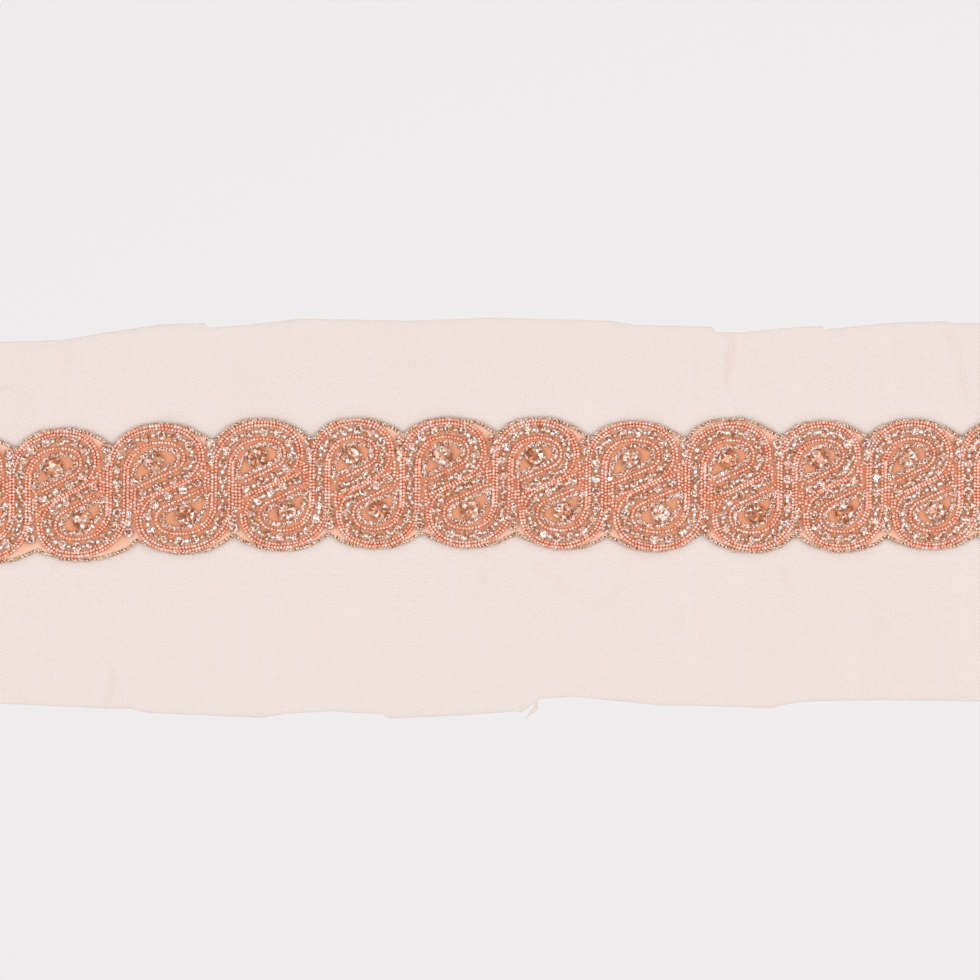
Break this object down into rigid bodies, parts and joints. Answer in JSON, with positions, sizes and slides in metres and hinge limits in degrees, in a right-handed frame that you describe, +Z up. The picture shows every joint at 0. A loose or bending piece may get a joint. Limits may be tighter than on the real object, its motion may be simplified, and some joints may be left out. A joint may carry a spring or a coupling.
{
  "type": "rhinestone beaded trim",
  "caption": "Cut length of scalloped beaded trim on sheer net: S-scrolls of rhinestones and seed beads, a large stone in each scroll's eye, and metallic braid along both edges.",
  "frame": {"origin": "on the net's underside, at the middle of the cut length and on the band's middle line", "axes": "+X along the band, +Y across it towards the narrower net margin, +Z up out of the beaded face"},
  "size_m": [0.4416, 0.1547, 0.0058],
  "materials": {
    "sheer_net": "sheer peach net",
    "ground_cloth": "fine tan weave",
    "beading": "lustred seed beads and faceted stones in silver settings",
    "eye_stone": "faceted, foil backed",
    "metal_braid": "twisted pale gold thread"
  },
  "bodies": {
    "root": {"net_ground": "sheer_net", "band_cloth": "ground_cloth", "edge_braid_upper": "metal_braid", "edge_braid_lower": "metal_braid", "scroll_00": "beading", "scroll_01": "beading", "scroll_02": "beading", "scroll_03": "beading", "scroll_04": "beading", "scroll_05": "beading", "scroll_06": "beading", "scroll_07": "beading", "scroll_08": "beading", "scroll_09": "beading", "scroll_10": "beading", "scroll_11": "beading", "scroll_12": "beading", "eye_stone_upper_01": "eye_stone", "eye_stone_upper_02": "eye_stone", "eye_stone_upper_03": "eye_stone", "eye_stone_upper_04": "eye_stone", "eye_stone_upper_05": "eye_stone", "eye_stone_upper_06": "eye_stone", "eye_stone_upper_07": "eye_stone", "eye_stone_upper_08": "eye_stone", "eye_stone_upper_09": "eye_stone", "eye_stone_upper_10": "eye_stone", "eye_stone_upper_11": "eye_stone", "eye_stone_upper_12": "eye_stone", "eye_stone_lower_01": "eye_stone", "eye_stone_lower_02": "eye_stone", "eye_stone_lower_03": "eye_stone", "eye_stone_lower_04": "eye_stone", "eye_stone_lower_05": "eye_stone", "eye_stone_lower_06": "eye_stone", "eye_stone_lower_07": "eye_stone", "eye_stone_lower_08": "eye_stone", "eye_stone_lower_09": "eye_stone", "eye_stone_lower_10": "eye_stone", "eye_stone_lower_11": "eye_stone", "eye_stone_lower_12": "eye_stone"}
  },
  "joints": []
}
